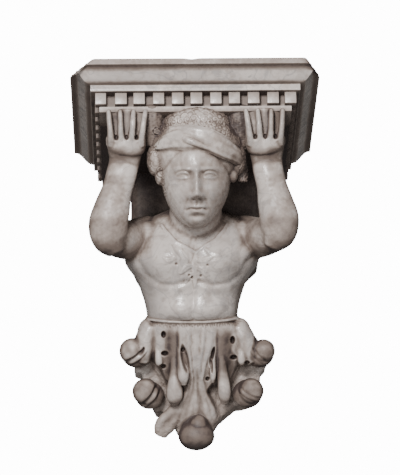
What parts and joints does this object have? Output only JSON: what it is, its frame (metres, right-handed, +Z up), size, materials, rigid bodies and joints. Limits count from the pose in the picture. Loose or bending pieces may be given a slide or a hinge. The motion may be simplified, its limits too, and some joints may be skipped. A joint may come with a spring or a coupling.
{
  "type": "stone corbel",
  "caption": "Carved marble wall corbel: a turbaned figure with raised arms carries a moulded, dentilled shelf and ends below in hanging leaves and curled knobs.",
  "frame": {"origin": "on the flat back face, on the middle line of the shelf and half way up the corbel", "axes": "+Z up, -Y out of the wall toward the viewer, +Y into the wall, +X to the viewer's right"},
  "size_m": [0.32, 0.304, 0.4462],
  "materials": {
    "marble": "smooth polished marble on the figure, rough tooled ground between the leaves, grime in the hollows"
  },
  "bodies": {
    "root": {"stone_corbel": "marble"}
  },
  "joints": []
}
